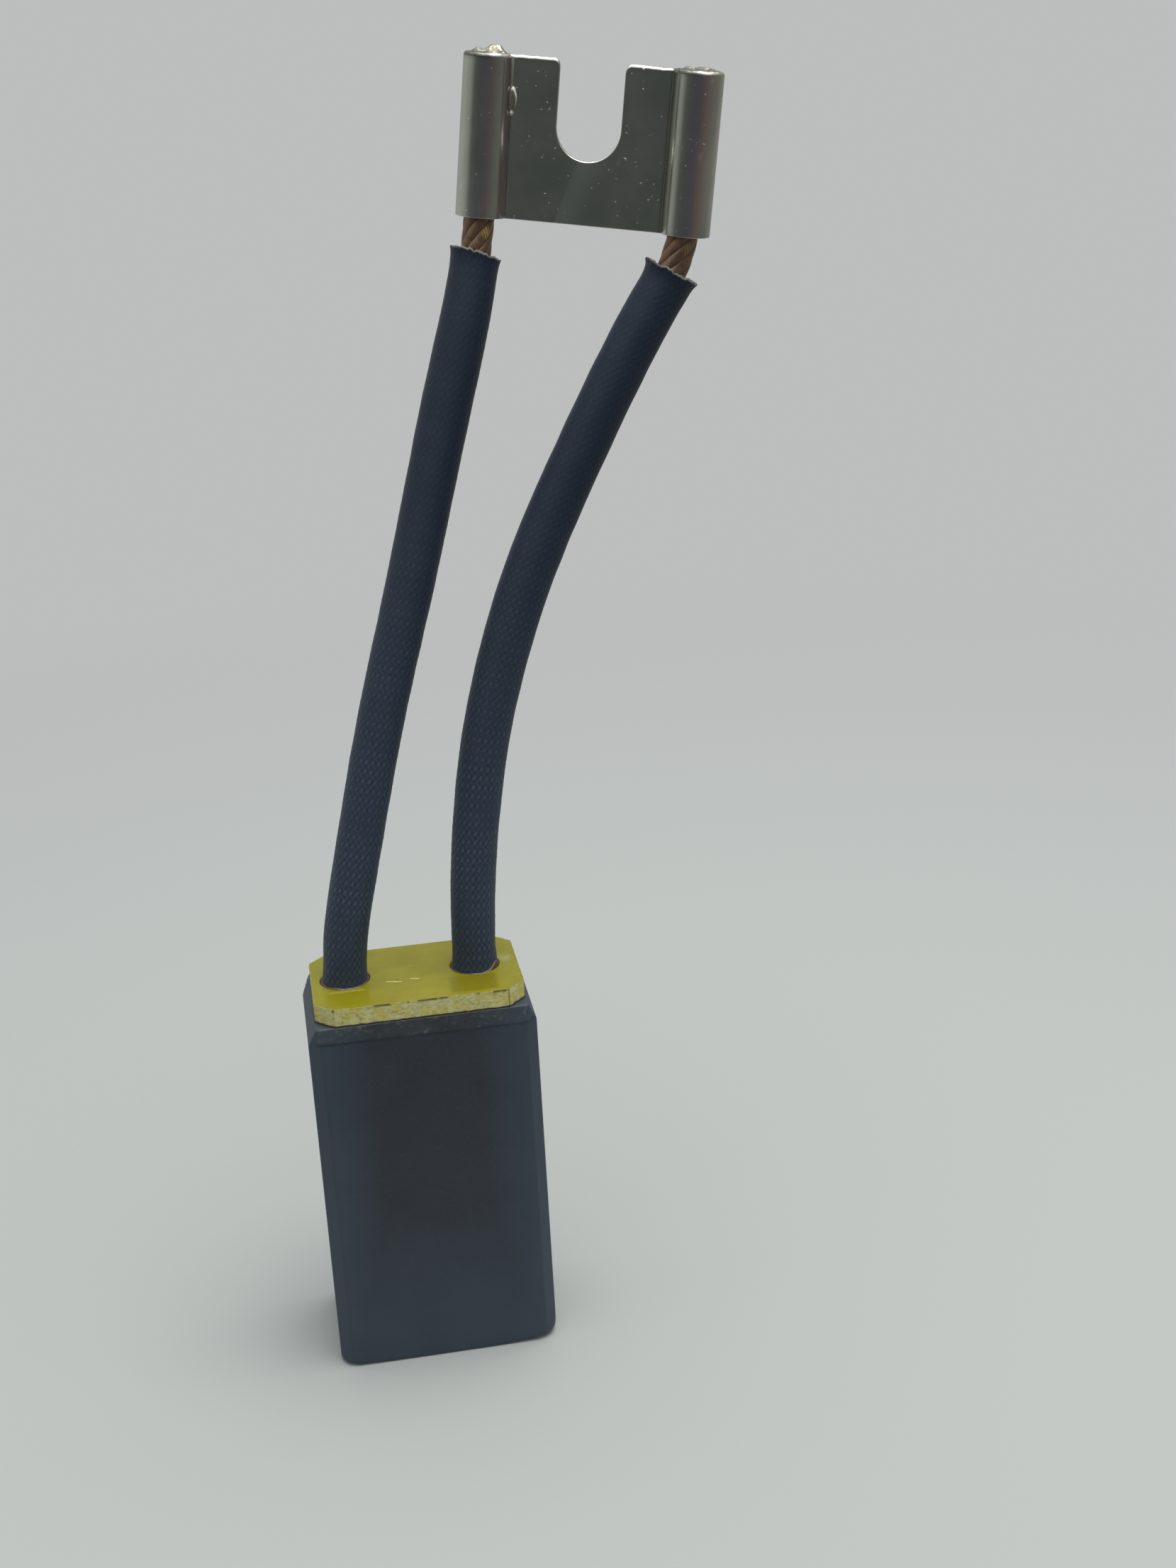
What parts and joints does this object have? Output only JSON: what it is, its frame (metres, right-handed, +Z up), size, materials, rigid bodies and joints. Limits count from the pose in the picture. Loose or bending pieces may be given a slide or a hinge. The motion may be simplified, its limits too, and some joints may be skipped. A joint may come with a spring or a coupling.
{
  "type": "carbon brush",
  "caption": "Upright carbon brush with chamfered block, insulating top plate, braided leads rising from it and a slotted tinned terminal",
  "frame": {"origin": "middle of the running face, on the surface that the block stands on", "axes": "+X along the block's width, +Y through its thickness to the back, +Z up the leads"},
  "size_m": [0.0669, 0.0332, 0.1811],
  "materials": {
    "carbon": "dull ground electrographite",
    "adhesive": "dull",
    "laminate": "smooth top, rough cut edges",
    "cement": "dull",
    "copper_powder": "dull",
    "copper_rope": "satin",
    "braid": "fine braid",
    "tinned_sheet": "bright tin plate",
    "solder": "bright"
  },
  "bodies": {
    "root": {"carbon_block": "carbon", "bond_film": "adhesive", "top_plate": "laminate", "foot_cement_left": "cement", "foot_cement_right": "cement", "tamping_left": "copper_powder", "tamping_right": "copper_powder", "rope_left": "copper_rope", "rope_right": "copper_rope", "sleeve_left": "braid", "sleeve_right": "braid", "terminal": "tinned_sheet", "solder_left": "solder", "solder_right": "solder", "seam_bead": "solder"}
  },
  "joints": []
}
